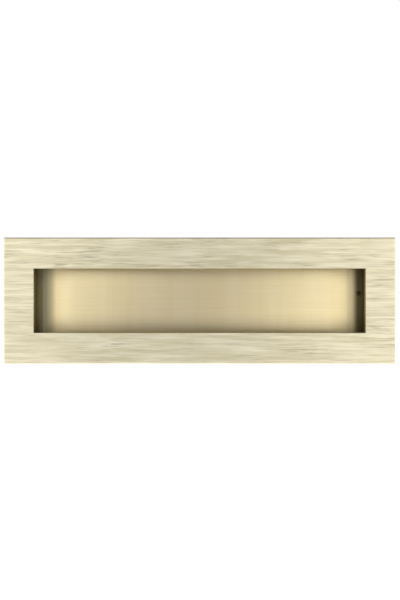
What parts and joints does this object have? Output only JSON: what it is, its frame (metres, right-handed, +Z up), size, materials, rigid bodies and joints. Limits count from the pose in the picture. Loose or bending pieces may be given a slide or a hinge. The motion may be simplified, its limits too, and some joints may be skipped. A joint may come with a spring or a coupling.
{
  "type": "letter plate",
  "caption": "Through-door letter plate with a plain brushed border, a recessed sprung flap that swings inwards, a telescopic sleeve and a room-side frame.",
  "frame": {"origin": "middle of the opening, on the plane where the street-side gasket meets the door", "axes": "+X to the right as seen from the street, +Y through the door into the room, +Z up"},
  "size_m": [0.254, 0.055, 0.082],
  "materials": {
    "brushed_brass": "satin brushed antique brass",
    "flap_brass": "satin smooth antique brass",
    "patina_brass": "dark patina",
    "bolt_brass": "satin turned brass",
    "bright_steel": "ground bright steel",
    "spring_steel": "drawn spring wire",
    "zinc_steel": "zinc plated steel",
    "nylon": "moulded natural nylon",
    "foam": "closed-cell foam rubber",
    "buffer_rubber": "soft solid rubber"
  },
  "bodies": {
    "street_side": {"front_plate": "brushed_brass", "plate_gasket": "foam", "outer_sleeve": "patina_brass", "outer_sleeve_screws": "zinc_steel", "pivot_rod": "bright_steel", "left_rod_bush": "nylon", "right_rod_bush": "nylon", "left_spacer": "nylon", "stop_bar": "patina_brass", "stop_bar_rivets": "zinc_steel", "closing_seal": "foam", "left_buffer": "buffer_rubber", "right_buffer": "buffer_rubber", "return_spring": "spring_steel"},
    "flap": {"flap": "flap_brass"},
    "room_side": {"inner_sleeve": "patina_brass", "inner_sleeve_screws": "zinc_steel", "inner_gasket": "foam", "inner_frame": "brushed_brass", "left_fixing_bolt": "bolt_brass", "right_fixing_bolt": "bolt_brass"}
  },
  "joints": [
    {"name": "flap_hinge", "type": "hinge", "parent": "street_side", "child": "flap", "pos_m": [0, 0.008, 0.02425], "axis": [1, 0, 0], "range_deg": [0, 80], "stiffness_Nm_per_rad": 0.06, "springref_deg": -34.38, "deforming": ["return_spring"]},
    {"name": "door_thickness_slide", "type": "slide", "parent": "street_side", "child": "room_side", "axis": [0, 1, 0], "range_m": [-0.004, 0.008]}
  ]
}
